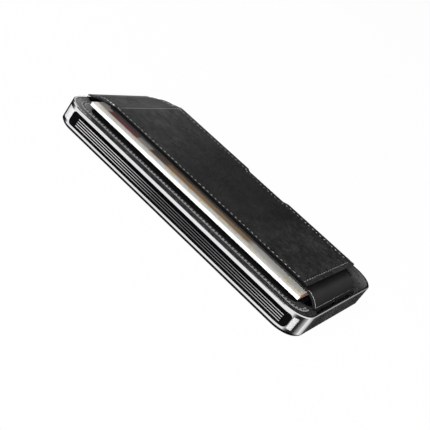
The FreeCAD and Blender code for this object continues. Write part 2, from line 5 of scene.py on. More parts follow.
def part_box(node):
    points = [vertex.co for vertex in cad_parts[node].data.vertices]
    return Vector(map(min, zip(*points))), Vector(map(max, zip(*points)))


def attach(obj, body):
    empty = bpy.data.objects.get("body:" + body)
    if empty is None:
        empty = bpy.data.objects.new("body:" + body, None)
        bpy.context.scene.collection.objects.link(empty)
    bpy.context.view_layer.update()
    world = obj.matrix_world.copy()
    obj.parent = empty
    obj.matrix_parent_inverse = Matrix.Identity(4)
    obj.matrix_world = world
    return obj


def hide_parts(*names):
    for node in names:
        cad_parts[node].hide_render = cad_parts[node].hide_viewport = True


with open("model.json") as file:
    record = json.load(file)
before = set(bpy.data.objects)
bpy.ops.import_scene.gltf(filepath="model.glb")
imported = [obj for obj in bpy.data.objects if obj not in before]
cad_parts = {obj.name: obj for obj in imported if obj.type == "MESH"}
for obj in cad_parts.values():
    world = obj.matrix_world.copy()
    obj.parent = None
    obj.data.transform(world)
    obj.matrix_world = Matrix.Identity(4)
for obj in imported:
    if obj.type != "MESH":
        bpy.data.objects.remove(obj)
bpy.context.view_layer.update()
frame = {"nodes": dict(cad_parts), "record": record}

# Looks of a minimalist wallet. Meshes are written in millimetres; materials, camera and lights in metres.
MM = 0.001
UP = Vector((0, 0, 1))


def corners(node):
    """A CAD node's box in millimetres."""
    low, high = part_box(node)
    return [v / MM for v in low], [v / MM for v in high]


def added(name, data):
    """A new object in the scene."""
    obj = bpy.data.objects.new(name, data)
    bpy.context.collection.objects.link(obj)
    return obj


# ------------------------------------------------------------------ camera
CAMERA_AT = Vector((0.08362, -0.24955, 0.10487))
CAMERA_AIM = Vector((0.00618, -0.01567, 0.0060))
CAMERA_ROLL = math.radians(36.18)
camera = added("camera", bpy.data.cameras.new("camera"))
turn = (CAMERA_AIM - CAMERA_AT).to_track_quat("-Z", "Y").to_matrix() @ Matrix.Rotation(CAMERA_ROLL, 3, "Z")
camera.matrix_world = Matrix.Translation(CAMERA_AT) @ turn.to_4x4()
camera.data.sensor_width = 36
camera.data.lens = 74.24
camera.data.clip_start = 0.01
camera.data.clip_end = 20
bpy.context.scene.camera = camera


# ------------------------------------------------------------------ node helpers
class Mat:
    """A node material under construction."""
    def __init__(self, name):
        self.m = bpy.data.materials.new(name)
        self.m.use_nodes = True
        self.t = self.m.node_tree
        self.b = self.t.nodes["Principled BSDF"]
        self.co = self.t.nodes.new("ShaderNodeTexCoord").outputs["Object"]
        self.xyz = None

    def new(self, kind, **settings):
        """A node of this kind with these settings."""
        node = self.t.nodes.new(kind)
        for key, value in settings.items():
            setattr(node, key, value)
        return node

    def put(self, value, socket):
        """Give a socket a number, a colour or another node's output."""
        if isinstance(value, (int, float)):
            socket.default_value = value
        elif isinstance(value, tuple):
            socket.default_value = (*value, 1)
        else:
            self.t.links.new(value, socket)

    def fill(self, node, **sockets):
        """Put values into a node's sockets by name, with _ for a space."""
        for key, value in sockets.items():
            self.put(value, node.inputs[key.replace("_", " ")])

    def set(self, **sockets):
        """Fill the surface's own sockets."""
        self.fill(self.b, **sockets)

    def show(self, shader):
        """Show this shader in place of the surface."""
        self.put(shader, self.t.nodes["Material Output"].inputs["Surface"])

    def axis(self, name):
        """One coordinate, X, Y or Z."""
        if self.xyz is None:
            self.xyz = self.new("ShaderNodeSeparateXYZ")
            self.put(self.co, self.xyz.inputs[0])
        return self.xyz.outputs[name]

    def math(self, op, a, b=0.0):
        node = self.new("ShaderNodeMath", operation=op)
        self.put(a, node.inputs[0])
        self.put(b, node.inputs[1])
        return node.outputs[0]

    def noise(self, scale, detail=4.0, rough=0.55, stretch=None):
        node = self.new("ShaderNodeTexNoise")
        where = self.stretched(stretch) if stretch else self.co
        self.fill(node, Scale=scale, Detail=detail, Roughness=rough, Vector=where)
        return node.outputs[0]

    def stretched(self, by):
        """The coordinates, scaled by a factor for each axis."""
        node = self.new("ShaderNodeMapping")
        node.inputs["Scale"].default_value = by
        self.put(self.co, node.inputs["Vector"])
        return node.outputs[0]

    def cells(self, scale):
        """Distance to the edges between random cells."""
        node = self.new("ShaderNodeTexVoronoi", feature="DISTANCE_TO_EDGE")
        self.fill(node, Scale=scale, Vector=self.co)
        return node.outputs["Distance"]

    def waves(self, direction, scale, distortion):
        """Bands that rise and fall along one direction."""
        node = self.new("ShaderNodeTexWave", wave_type="BANDS", bands_direction=direction)
        self.fill(node, Scale=scale, Distortion=distortion, Vector=self.co)
        return node.outputs[0]

    def ramp(self, value, stops):
        """Colours by value, from (position, colour) stops."""
        node = self.new("ShaderNodeValToRGB")
        elements = node.color_ramp.elements
        while len(elements) < len(stops):
            elements.new(0.5)
        for element, (at, colour) in zip(elements, stops):
            element.position = at
            element.color = (*colour, 1)
        self.put(value, node.inputs[0])
        return node.outputs[0]

    def grey(self, value, low, high, a=0.0, b=1.0):
        """Map value from a..b to low..high."""
        node = self.new("ShaderNodeMapRange")
        for i, v in enumerate((value, a, b, low, high)):
            self.put(v, node.inputs[i])
        return node.outputs[0]

    def mix(self, fac, a, b, blend="MIX"):
        node = self.new("ShaderNodeMixRGB", blend_type=blend)
        self.fill(node, Fac=fac, Color1=a, Color2=b)
        return node.outputs[0]

    def bump(self, height, distance, strength, after=None):
        """A bump, laid over an earlier one if that is given."""
        node = self.new("ShaderNodeBump")
        self.fill(node, Height=height, Distance=distance, Strength=strength)
        if after is not None:
            self.put(after, node.inputs["Normal"])
        return node.outputs[0]


# ------------------------------------------------------------------ materials
def leather(name, dark, light, grain, scuffs, cover_sheen_and_margin=False, sheen_corners=()):
    """Full-grain leather: pebbled cells, creases, mottling and scuffs.

    The cover's flag adds a painted sheen along its length and a near-black margin; the corner list gives (x
    sign, y sign, tone) for each corner lightened by painted sheen.
    """
    m = Mat(name)
    wide, mottle, fine = m.noise(75, 5, 0.6), m.noise(420, 8, 0.9), m.noise(1300, 4, 0.7)
    blend = m.mix(0.25, m.mix(0.30, mottle, wide), fine)
    colour = m.ramp(blend, [(0.44, dark), (0.50, tuple(0.3 * v for v in light)), (0.56, light)])
    cells = m.cells(grain)
    creases = m.grey(cells, 0.3, 1.0, 0.0, 0.16)
    shaded = m.ramp(creases, [(0.45, (0.3, 0.3, 0.3)), (1.0, (1, 1, 1))])
    colour = m.mix(0.55, colour, shaded, "MULTIPLY")
    scratch = m.noise(230, 10, 0.85, (2.2, 0.8, 1.0))
    worn = m.grey(scratch, 0.0, scuffs, 0.57, 0.68)
    colour = m.mix(worn, colour, tuple(min(1.0, v * (2.2 if cover_sheen_and_margin else 3.2)) for v in light))
    # painted sheen: lighter, patchy leather at the listed corners
    for along, across, tone in sheen_corners:
        towards_x = m.grey(m.math("MULTIPLY", m.axis("X"), along), 0.0, 1.0, 0.038, 0.046)
        towards_y = m.grey(m.math("MULTIPLY", m.axis("Y"), across), 0.0, 1.0, 0.018, 0.026)
        corner = m.math("MULTIPLY", towards_x, towards_y)
        patchy = m.math("MULTIPLY", corner, m.grey(mottle, 0.5, 1.0, 0.38, 0.60))
        colour = m.mix(patchy, colour, (tone, tone, tone))
    if cover_sheen_and_margin:
        # painted sheen: lighter at the tip and the near end, darker in the middle
        tone = m.ramp(m.grey(m.axis("X"), 0.0, 1.0, -0.050, 0.043),
                      [(0.0, (2.0,) * 3), (0.13, (1.8,) * 3), (0.17, (1.2,) * 3), (0.42, (0.4,) * 3),
                       (0.62, (0.4,) * 3), (0.85, (1.0,) * 3), (1.0, (1.2,) * 3)])
        colour = m.mix(1.0, colour, tone, "MULTIPLY")
        # a near-black margin along the -Y side and at the tip edge
        side_margin = m.grey(m.axis("Y"), 1.0, 0.0, -0.0224, -0.0219)
        tip_margin = m.grey(m.axis("X"), 1.0, 0.0, -0.0494, -0.0490)
        dark_margin = m.math("MAXIMUM", side_margin, tip_margin)
        colour = m.mix(dark_margin, colour, (0.001, 0.001, 0.001))
    first = m.bump(creases, 0.00008, 0.7)
    coarse = m.bump(mottle, 0.0006, 0.7, first)
    rough = m.grey(fine, 0.45, 0.70, 0.35, 0.65)
    m.set(Base_Color=colour, Roughness=m.math("MAXIMUM", rough, dark_margin) if cover_sheen_and_margin else rough,
          Normal=m.bump(fine, 0.00010, 0.8, coarse), Specular_IOR_Level=0.10 if cover_sheen_and_margin else 0.16)
    return m.m


def metal(name, colour, roughness, grain=(1.0, 9.0, 9.0)):
    """Metal with fine directional grain and slight smudging."""
    m = Mat(name)
    lines = m.noise(600, 2, 0.5, grain)
    smudge = m.noise(70, 4, 0.6)
    darker = tuple(v * 0.86 for v in colour)
    m.set(Base_Color=m.ramp(smudge, [(0.3, darker), (0.7, colour)]), Metallic=1.0,
          Roughness=m.grey(smudge, roughness * 0.8, roughness * 1.25, 0.3, 0.7),
          Normal=m.bump(lines, 0.0000006, 0.3))
    return m.m


def chassis(name, colour, roughness):
    """Polished metal, with a painted highlight at each end of the side channels: a pale, rougher, less
    metallic patch.
    """
    m = Mat(name)
    smudge, lines = m.noise(70, 4, 0.6), m.noise(160, 2, 0.5, (1.0, 1.0, 12.0))
    x, y, z = m.axis("X"), m.math("ABSOLUTE", m.axis("Y")), m.axis("Z")

    def between(value, a, b, soft=0.0003):
        return m.math("MULTIPLY", m.grey(value, 0.0, 1.0, a, a + soft), m.grey(value, 1.0, 0.0, b - soft, b))

    # painted highlight: a pale patch where each side channel ends at the rounded corners
    near_post_highlight = between(x, 0.04636, 0.0480)
    far_post_highlight = between(m.math("MULTIPLY", x, -1.0), 0.0443, 0.0474)
    stops = m.math("MULTIPLY", m.math("MAXIMUM", near_post_highlight, far_post_highlight), between(z, 0.00165, 0.0061))
    post_highlight = m.math("MULTIPLY", stops, m.grey(y, 0.0, 1.0, 0.0282, 0.0283))
    base = m.ramp(smudge, [(0.3, tuple(v * 0.9 for v in colour)), (0.7, colour)])
    foot = m.grey(z, 1.0, 0.0, 0.00085, 0.00100)
    base = m.mix(foot, base, (0.012, 0.012, 0.013))
    # the pale colour of this patch is the painted highlight
    m.set(Base_Color=m.mix(post_highlight, base, (0.60, 0.60, 0.61)), Metallic=m.grey(post_highlight, 1.0, 0.3),
          Roughness=m.math("MAXIMUM", m.grey(smudge, roughness * 0.8, roughness * 1.25, 0.3, 0.7),
                           m.math("MULTIPLY", post_highlight, 0.42)),
          Normal=m.bump(lines, 0.0000004, 0.15))
    return m.m


def plain(name, colour, roughness, depth=0.00001, scale=1800, specular=0.3):
    """Painted or moulded surface with fine texture and faint variation."""
    m = Mat(name)
    fine, wide = m.noise(scale, 3, 0.6), m.noise(60, 5, 0.6)
    lighter = tuple(min(1.0, v * 1.35 + 0.002) for v in colour)
    m.set(Base_Color=m.ramp(wide, [(0.3, colour), (0.75, lighter)]),
          Roughness=m.grey(wide, roughness * 0.85, roughness * 1.2, 0.3, 0.7),
          Normal=m.bump(fine, depth, 0.4), Specular_IOR_Level=specular)
    return m.m


FIRST_RIB, RIB_PITCH = 0.00207, 0.00076


def ribs():
    """Black channel floor with bare metal on the ribs' edges."""
    m = Mat("rib_metal")
    side = m.math("ABSOLUTE", m.axis("Y"))
    ragged = m.math("ADD", side, m.grey(m.noise(900, 3), -0.00003, 0.00003))
    edge = m.grey(ragged, 0.0, 1.0, 0.03066, 0.03071)
    phase = m.math("FRACT", m.math("DIVIDE", m.math("ADD", m.axis("Z"), -FIRST_RIB), RIB_PITCH))
    crest = m.grey(m.math("ABSOLUTE", m.math("SUBTRACT", phase, 0.5)), 1.0, 0.0, 0.09, 0.15)
    bare = m.math("MULTIPLY", edge, crest)
    # painted highlight: the bare edges are brighter at both ends and darker in the middle
    along = m.grey(m.axis("X"), 0.0, 1.0, -0.045, 0.045)
    shade = m.ramp(along, [(0.0, (0.85,) * 3), (0.24, (0.70,) * 3), (0.42, (0.18,) * 3), (0.62, (0.15,) * 3),
                           (0.80, (0.25,) * 3), (1.0, (0.65,) * 3)])
    m.set(Base_Color=m.mix(bare, (0.0012, 0.0012, 0.0014), shade),
          Metallic=bare, Roughness=m.grey(bare, 0.5, 0.25), Specular_IOR_Level=0.02,
          Normal=m.bump(m.noise(1500, 2), 0.000004, 0.3))
    return m.m


def paper():
    """Cotton paper: a plain margin, and soft generic bands of colour on the printed face."""
    m = Mat("note_paper")
    x, y, z = m.axis("X"), m.axis("Y"), m.axis("Z")
    drift = m.grey(m.noise(700, 5, 0.65), -0.0002, 0.0002, 0.25, 0.75)
    along = m.grey(m.math("ADD", x, drift), 0.0, 1.0, -0.0452, 0.043)
    bands = m.ramp(along, [
        (0.0, (0.44, 0.42, 0.39)), (0.050, (0.40, 0.38, 0.35)), (0.056, (0.17, 0.022, 0.024)),
        (0.198, (0.21, 0.028, 0.026)), (0.206, (0.42, 0.41, 0.37)), (0.262, (0.38, 0.36, 0.32)),
        (0.272, (0.08, 0.036, 0.022)), (0.345, (0.13, 0.062, 0.034)), (0.358, (0.36, 0.18, 0.07)),
        (0.52, (0.43, 0.24, 0.095)), (0.74, (0.40, 0.24, 0.10)), (0.765, (0.70, 0.68, 0.64)),
        (1.0, (0.75, 0.735, 0.70))])
    bands = m.mix(0.16, bands, m.waves("Y", 420, 9), "OVERLAY")
    across = m.math("ADD", y, m.math("MULTIPLY", drift, 0.3))
    inside = m.grey(across, 0.0, 1.0, -0.0204, -0.0196)
    printed = m.math("MULTIPLY", inside, m.grey(z, 0.0, 1.0, 0.00852, 0.00856))
    blank = m.ramp(m.noise(900, 5), [(0.3, (0.70, 0.695, 0.68)), (0.7, (0.79, 0.785, 0.77))])
    margin = m.math("MULTIPLY", m.grey(y, 0.0, 1.0, -0.0222, -0.0220), m.grey(y, 1.0, 0.0, -0.0204, -0.0200))
    marks = m.math("MULTIPLY", m.grey(m.noise(900, 1), 0.0, 1.0, 0.565, 0.595), margin)
    end = m.math("MULTIPLY", m.grey(x, 0.0, 1.0, 0.04262, 0.04272), m.grey(y, 0.0, 1.0, -0.0224, -0.0220))
    marked = m.mix(marks, m.mix(printed, blank, bands), (0.80, 0.58, 0.16))
    m.set(Base_Color=m.mix(end, marked, (0.44, 0.15, 0.085)), Roughness=0.85, Sheen_Weight=0.08,
          Normal=m.bump(m.noise(1600, 4, 0.7), 0.00003, 0.4))
    return m.m


def thread(name, colour):
    """Twisted thread: slanting bands of light and shade."""
    m = Mat(name)
    twist = m.waves("DIAGONAL", 900, 1.0)
    darker = tuple(v * 0.55 for v in colour)
    m.set(Base_Color=m.ramp(twist, [(0.2, darker), (0.8, colour)]), Roughness=0.75,
          Normal=m.bump(twist, 0.00004, 0.6))
    return m.m


def card_plastic():
    """Plain satin card with a paler face and fine speckle."""
    m = Mat("card_plastic")
    wide, speck = m.noise(40, 3), m.noise(3000, 2)
    colour = m.ramp(wide, [(0.3, (0.10, 0.11, 0.13)), (0.7, (0.17, 0.185, 0.21))])
    m.set(Base_Color=m.mix(0.08, colour, speck, "OVERLAY"), Roughness=m.grey(wide, 0.28, 0.4, 0.3, 0.7),
          Normal=m.bump(speck, 0.000005, 0.3))
    return m.m


def leaf():
    """Black satin coating, duller round the knuckles, where painted shade also makes it darker."""
    m = Mat("leaf_black")
    high = m.grey(m.axis("Z"), 0.0, 1.0, 0.0078, 0.0100)
    wide, fine = m.noise(90, 5, 0.6), m.noise(1200, 3)
    coating = m.ramp(wide, [(0.3, (0.006,) * 3), (0.7, (0.011,) * 3)])
    # below the bend the colour is darkened by painted shade
    m.set(Base_Color=m.mix(high, (0.002, 0.002, 0.002), coating), Roughness=m.grey(high, 0.75, 0.38),
          Normal=m.bump(fine, 0.000003, 0.4), Specular_IOR_Level=0.18)
    return m.m


MATERIALS = {
    "chassis_metal": chassis("chassis_metal", (0.82, 0.82, 0.83), 0.15),
    "rib_metal": ribs(),
    "deck_black": plain("deck_black", (0.004, 0.004, 0.0045), 0.7, specular=0.06),
    "trim_leather": leather("trim_leather", (0.014, 0.014, 0.0145), (0.066, 0.066, 0.068), 1900.0, 0.2,
                            sheen_corners=((-1.0, -1.0, 0.22), (1.0, 1.0, 0.13))),
    "cover_leather": leather("cover_leather", (0.0016, 0.0016, 0.0017), (0.046, 0.046, 0.047), 1300.0, 0.5,
                             cover_sheen_and_margin=True),
    "leaf_black": leaf(),
    "board_black": plain("board_black", (0.010, 0.010, 0.010), 0.6),
    "pad_rubber": plain("pad_rubber", (0.022, 0.022, 0.022), 0.8, 0.00003, 1400),
    "hinge_steel": metal("hinge_steel", (0.020, 0.020, 0.021), 0.45, (9.0, 1.0, 9.0)),
    "spring_steel": metal("spring_steel", (0.52, 0.52, 0.53), 0.22),
    "fastener_steel": metal("fastener_steel", (0.12, 0.12, 0.125), 0.35),
    "card_plastic": card_plastic(),
    "note_paper": paper(),
}
THREAD_LIGHT = thread("thread_light", (0.74, 0.74, 0.73))
# dark thread for the trims' stitches; also the painted shade in the cover's stitch holes
DARK_THREAD_AND_HOLE_SHADE = thread("dark_thread_and_hole_shade", (0.010, 0.010, 0.010))
# grey thread for the left trim's piping; also the painted highlight on the leaf's edge
GREY_PIPING_AND_HIGHLIGHT = thread("grey_thread_and_highlight", (0.34, 0.34, 0.34))

for entry in frame["record"]["subparts"]:
    node = frame["nodes"][entry["node"]]
    node.data.materials.clear()
    node.data.materials.append(MATERIALS[entry["material_slot"]])
for name, width in (("clip_leaf", 0.12), ("clip_board", 0.1), ("deck_plate", 0.08), ("grip_pad", 0.12),
                    ("hinge_bracket", 0.06)):
    bevel = frame["nodes"][name].modifiers.new("edge", "BEVEL")
    bevel.width = width * MM
    bevel.segments = 2
    bevel.limit_method = "ANGLE"
    bevel.harden_normals = False


# ------------------------------------------------------------------ mesh helpers
def piece(name, verts, faces, material, body, slot, smooth):
    """A mesh piece from points in millimetres, smooth across edges below an angle in degrees."""
    mesh = bpy.data.meshes.new(name)
    mesh.from_pydata([(x * MM, y * MM, z * MM) for x, y, z in verts], [], faces)
    mesh.validate()
    mesh.materials.append(material)
    obj = added(name, mesh)
    bm = bmesh.new()
    bm.from_mesh(mesh)
    bmesh.ops.recalc_face_normals(bm, faces=bm.faces)
    bm.to_mesh(mesh)
    bm.free()
    for p in mesh.polygons:
        p.use_smooth = True
    mesh.set_sharp_from_angle(angle=math.radians(smooth))
    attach(obj, body)
    return obj


def loft(rings):
    """Points and faces joining equal closed rings of points, with a cap at each end."""
    n = len(rings[0])
    verts = [p for ring in rings for p in ring]
    faces = [(i * n + j, i * n + (j + 1) % n, (i + 1) * n + (j + 1) % n, (i + 1) * n + j)
             for i in range(len(rings) - 1) for j in range(n)]
    faces += [tuple(range(n))[::-1], tuple(range((len(rings) - 1) * n, len(rings) * n))]
    return verts, faces


def merged(parts):
    """One set of points and faces from several."""
    verts, faces = [], []
    for more_verts, more_faces in parts:
        base = len(verts)
        verts += more_verts
        faces += [tuple(base + i for i in face) for face in more_faces]
    return verts, faces


def turns(count):
    """Even angles round a full circle."""
    return [math.tau * k / count for k in range(count)]


def on_circle(x, y, radius, angle):
    return x + radius * math.cos(angle), y + radius * math.sin(angle)


def part_way(a, b, share):
    """The point in plan at a share of the way from a to b."""
    return a[0] + (b[0] - a[0]) * share, a[1] + (b[1] - a[1]) * share


# (place along half the thread, share of its radius)
THREAD_PROFILE = ((-1.0, 0.25), (-0.88, 0.75), (-0.55, 1.0), (0.0, 1.08), (0.55, 1.0), (0.88, 0.75),
                  (1.0, 0.25))
THREAD_SIDES = 8
THREAD_SINK = 0.45
THREAD_HEIGHT = 0.8


def stitches(name, spots, length, radius, material, body, slot):
    """Short rounded threads, each at (point, direction), with their ends sunk in the leather."""
    threads = []
    for spot, heading in spots:
        d = Vector(heading).normalized()
        side = d.cross(UP).normalized()
        lift = side.cross(d)
        rings = []
        for s, r in THREAD_PROFILE:
            sink = -THREAD_SINK * radius * abs(s) ** 3
            c = Vector(spot) + d * (s * length / 2) + lift * sink
            rings.append([c + (side * math.cos(a) + lift * THREAD_HEIGHT * math.sin(a)) * radius * r
                          for a in turns(THREAD_SIDES)])
        threads.append(loft(rings))
    piece(name, *merged(threads), material, body, slot, 60)


def walk(path, pitch, start=None):
    """Points at an even pitch along a polyline, each with its direction."""
    out, left = [], pitch / 2 if start is None else start
    for a, b in zip(path, path[1:]):
        a, b = Vector(a), Vector(b)
        run = (b - a).length
        if run < 1e-9:
            continue
        while left <= run:
            out.append((tuple(a + (b - a) * (left / run)), tuple(b - a)))
            left += pitch
        left -= run
    return out


# ------------------------------------------------------------------ leather trims
# (distance, depth below the face) at the outer edge, the inner edge and the stitched groove
OUTER = [(0.0, 0.30), (0.08, 0.13), (0.24, 0.035), (0.5, 0.0), (1.1, 0.0)]
INNER = [(0.28, 0.0), (0.16, 0.035), (0.06, 0.13), (0.0, 0.30)]
GROOVE = [(-0.85, 0.0), (-0.72, 0.10), (-0.4, 0.15), (0.0, 0.16), (0.4, 0.15), (0.68, 0.10), (0.78, 0.0)]
CORNER_OUT, CORNER_IN = 6.85, 4.0               # the corners' radii
INNER_X, INNER_Y = 43.6, 26.4                   # the strip's inner edges
SLANT_X, SLANT_RISE, SLANT_RUN = 47.0, 3.0, 4.4     # the slanted end's start and slope
SLANT_SHARE, STRAIGHT_SHARE = 0.7, 0.3          # of the steps at an end
FULL_WIDTH = 3.85                               # a slimmer strip has a narrower profile
END_DROP, END_ROUND, FACE_ABOVE = 0.22, 0.3, 0.3    # rounding of the strip's two ends
END_STEPS, CORNER_STEPS, SIDE_STEPS = 12, 24, 60
LINE_START, LINE_DEPTH, STITCH_RISE = 2.2, 0.12, 0.07
PIPING_SIDES, PIPING_HEIGHT, PIPING_END = 12, 0.1, 0.2
TRIM_PITCH, TRIM_THREAD = 1.3, 0.78


def trim(side, sign, stitch, piping, piping_radius, thread_radius):
    """One C-shaped strip lofted between its outer and inner edges, with piping and stitches in a groove.

    stitch is the distance of the groove from the outer edge.
    """
    node = "leather_trim_" + side
    low, high = corners(node)
    outer_x = high[0]
    outer_y, slot_y = sorted((abs(low[1]), abs(high[1])), reverse=True)
    mid_x, mid_y = outer_x - CORNER_OUT, outer_y - CORNER_OUT

    def inset(point):
        """Distance of a point from the strip's outer edge."""
        if point[0] > mid_x and point[1] > mid_y:
            return CORNER_OUT - math.hypot(point[0] - mid_x, point[1] - mid_y)
        return min(outer_x - point[0], outer_y - point[1])

    def share(o, q, distance):
        """How far along o to q the strip lies at this distance from its outer edge, by halving."""
        a, b = 0.0, 1.0
        for _ in range(24):
            t = (a + b) / 2
            if inset(part_way(o, q, t)) < distance:
                a = t
            else:
                b = t
        return t

    near = []                                   # pairs of outer and inner points, from the slot's edge on
    slope_y = slot_y + (SLANT_X - INNER_X) * SLANT_RISE / SLANT_RUN
    for k in range(END_STEPS + 1):
        f = k / END_STEPS
        if f < SLANT_SHARE:
            q = part_way((SLANT_X, slot_y), (INNER_X, slope_y), f / SLANT_SHARE)
        else:
            g = (f - SLANT_SHARE) / STRAIGHT_SHARE
            q = part_way((INNER_X, slope_y), (INNER_X, INNER_Y - CORNER_IN), g)
        near.append(((outer_x, slot_y + (outer_y - CORNER_OUT - slot_y) * f), q))
    quarter = [math.pi / 2 * k / CORNER_STEPS for k in range(1, CORNER_STEPS + 1)]
    for a in quarter:
        near.append((on_circle(mid_x, mid_y, CORNER_OUT, a),
                     on_circle(INNER_X - CORNER_IN, INNER_Y - CORNER_IN, CORNER_IN, a)))
    shares = []
    for o, q in near:
        squeeze = min(1.0, inset(q) / FULL_WIDTH)
        distances = [d for d, _ in OUTER] + [stitch + d for d, _ in GROOVE]
        shares.append([share(o, q, d * squeeze) for d in distances])
    x0, x1 = near[-1][0][0], near[-1][1][0]
    middle = [((x0 - 2 * x0 * k / SIDE_STEPS, outer_y), (x1 - 2 * x1 * k / SIDE_STEPS, INNER_Y))
              for k in range(1, SIDE_STEPS)]
    pairs = near + middle + [((-o[0], o[1]), (-q[0], q[1])) for o, q in reversed(near)]
    shares = shares + [shares[-1]] * len(middle) + shares[::-1]
    rings = []
    for (o, q), where in zip(pairs, shares):
        width = math.dist(o, q)
        profile = list(zip(where, [drop for _, drop in OUTER + GROOVE]))
        profile += [(1 - d / width, drop) for d, drop in INNER]
        ring = []
        for t, drop in profile:
            x, y = part_way(o, q, t)
            ring.append((x, sign * y, high[2] - drop))
        rings.append(ring + [(q[0], sign * q[1], low[2]), (o[0], sign * o[1], low[2])])
    # the strip's two ends are rounded over like its edges
    for index, step in ((0, 1), (-1, -1)):
        rings[index] = [(x, y, z - END_DROP if z > low[2] + FACE_ABOVE else z) for x, y, z in rings[index]]
        rounded = [part_way(p, q, END_ROUND) + (q[2],) for p, q in zip(rings[index], rings[index + step])]
        rings.insert(1 if step == 1 else len(rings) - 1, rounded)
    strip = piece("trim_strip_" + side, *loft(rings), MATERIALS["trim_leather"], "case", "trim_leather", 50)
    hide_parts(node)

    # the stitched line, at an even distance from the outer edge
    line = [(outer_x - stitch, slot_y + LINE_START + (mid_y - slot_y - LINE_START) * k / END_STEPS)
            for k in range(END_STEPS + 1)]
    line += [on_circle(mid_x, mid_y, CORNER_OUT - stitch, a) for a in quarter]
    first_half = list(line)
    line += [(mid_x - 2 * mid_x * k / SIDE_STEPS, outer_y - stitch) for k in range(1, SIDE_STEPS)]
    line += [(-x, y) for x, y in first_half][::-1]
    line = [Vector((x, sign * y, high[2] - LINE_DEPTH)) for x, y in line]
    rings = []
    for k, c in enumerate(line):
        d = (line[min(k + 1, len(line) - 1)] - line[max(k - 1, 0)]).normalized()
        across = d.cross(UP)
        r = piping_radius if 0 < k < len(line) - 1 else PIPING_END
        rings.append([c + across * (r * math.cos(a)) + Vector((0, 0, PIPING_HEIGHT * math.sin(a)))
                      for a in turns(PIPING_SIDES)])
    piece("trim_piping_" + side, *loft(rings), piping, "case", "trim_leather", 60)
    line = [c + Vector((0, 0, STITCH_RISE)) for c in line]
    stitches("trim_stitches_" + side, walk(line, TRIM_PITCH), TRIM_THREAD, thread_radius, DARK_THREAD_AND_HOLE_SHADE, "case",
             "trim_leather")


trim("left", -1, 2.7, GREY_PIPING_AND_HIGHLIGHT, 0.72, 0.32)
trim("right", 1, 2.1, MATERIALS["trim_leather"], 0.22, 0.14)


# ------------------------------------------------------------------ leather cover
low, high = corners("clip_cover")
near_x, tip_x, top_z, low_z = high[0], low[0], high[2], low[2]
half, middle_y = (high[1] - low[1]) / 2, (high[1] + low[1]) / 2
SEAM_X, TIP_HALF, THICK, TIP_THICK = -38.0, 16.9, 1.3, 0.6
BULGE = 0.75                                    # how far the sloping end bows out
tip_top = low_z + TIP_THICK
bend_x = (SEAM_X + tip_x) / 2
bend_top = (top_z + tip_top) / 2 + BULGE
bend_low = (top_z - THICK + low_z) / 2 + BULGE
NOTCH_START, NOTCH_END, NOTCH_DEPTH, NOTCH_SLANT = -5.2, 13.2, 1.7, 1.6
TOOTH_HEIGHT, TOOTH_PITCH = 0.22, 1.5


def slope(x, at_seam, at_bend, at_tip):
    """Height along the sloping end: flat, then down in two runs."""
    if x >= SEAM_X:
        return at_seam
    if x >= bend_x:
        return at_seam + (at_bend - at_seam) * (SEAM_X - x) / (SEAM_X - bend_x)
    return at_bend + (at_tip - at_bend) * (bend_x - x) / (bend_x - tip_x)


def face_z(x):
    """Height of the upper face, before its edges, grooves and lap."""
    return slope(x, top_z, bend_top, tip_top)


def side_at(x, sign, teeth=TOOTH_HEIGHT):
    """The cover's edge at x on one side, with the toothed notch on the +Y side."""
    w = half if x >= SEAM_X else half + (TIP_HALF - half) * (SEAM_X - x) / (SEAM_X - tip_x)
    if sign > 0 and NOTCH_START < x < NOTCH_END:
        w -= NOTCH_DEPTH * min(1.0, (x - NOTCH_START) / NOTCH_SLANT, (NOTCH_END - x) / NOTCH_SLANT)
        if NOTCH_START + NOTCH_SLANT < x < NOTCH_END - NOTCH_SLANT:
            w += teeth * abs(math.sin(math.pi * x / TOOTH_PITCH))
    return middle_y + sign * w


def down(start, stop, step):
    """Even steps from start down to stop."""
    out = []
    while start > stop:
        out.append(start)
        start -= step
    return out


# where the panel's rings lie, closer together at its ends, notch and seam
xs = [near_x - d for d in (0.0, 0.06, 0.2, 0.4, 0.8, 1.3, 1.5, 1.7, 2.2)]
xs += down(near_x - 3.0, SEAM_X + 1.6, 0.9)
for bend in (NOTCH_START, NOTCH_END, NOTCH_START + NOTCH_SLANT, NOTCH_END - NOTCH_SLANT):
    xs += [bend - 0.05, bend, bend + 0.05]
xs += [NOTCH_START + NOTCH_SLANT + 0.25 * k for k in range(1, 61)]
xs += [SEAM_X + d for d in (1.4, 1.1, 0.9, 0.7, 0.4, 0.2, 0.08, 0.0, -0.08, -0.25, -0.5, -1.0)]
xs += down(SEAM_X - 1.7, tip_x + 0.8, 0.6)
xs += [tip_x + d for d in (1.9, 1.7, 1.5, 1.3, 1.1, 0.7, 0.4, 0.18, 0.06, 0.0)]
xs = sorted({round(v, 3) for v in xs}, reverse=True)
INSETS = [0.0, 0.05, 0.16, 0.35, 0.7, 1.2, 1.6, 1.9, 2.05, 2.2, 2.35, 2.5, 2.8, 3.2]
INNER_STEPS = 26
LINE, NEAR_LINE, SEAM_LINE, TIP_LINE = 2.2, 1.5, 0.5, 1.5      # from the side, near end, seam and tip
GROOVE_DEPTH, GROOVE_WIDTH = 0.10, 0.22
EDGE_RADIUS, EDGE_DROP, TIP_EDGE_SHARE = 0.4, 0.32, 0.6
LAP_DEPTH, LAP_EDGE, LAP_FADE = 0.16, 0.1, 9.0
EDGE_THICKNESS, LEAST_THICKNESS = 0.5, 0.12
RIM, RIM_INNER, RIM_STEP, NEAR_RIM = 0.06, 2.2, 2.4, 1.2       # the thin rim on the underside


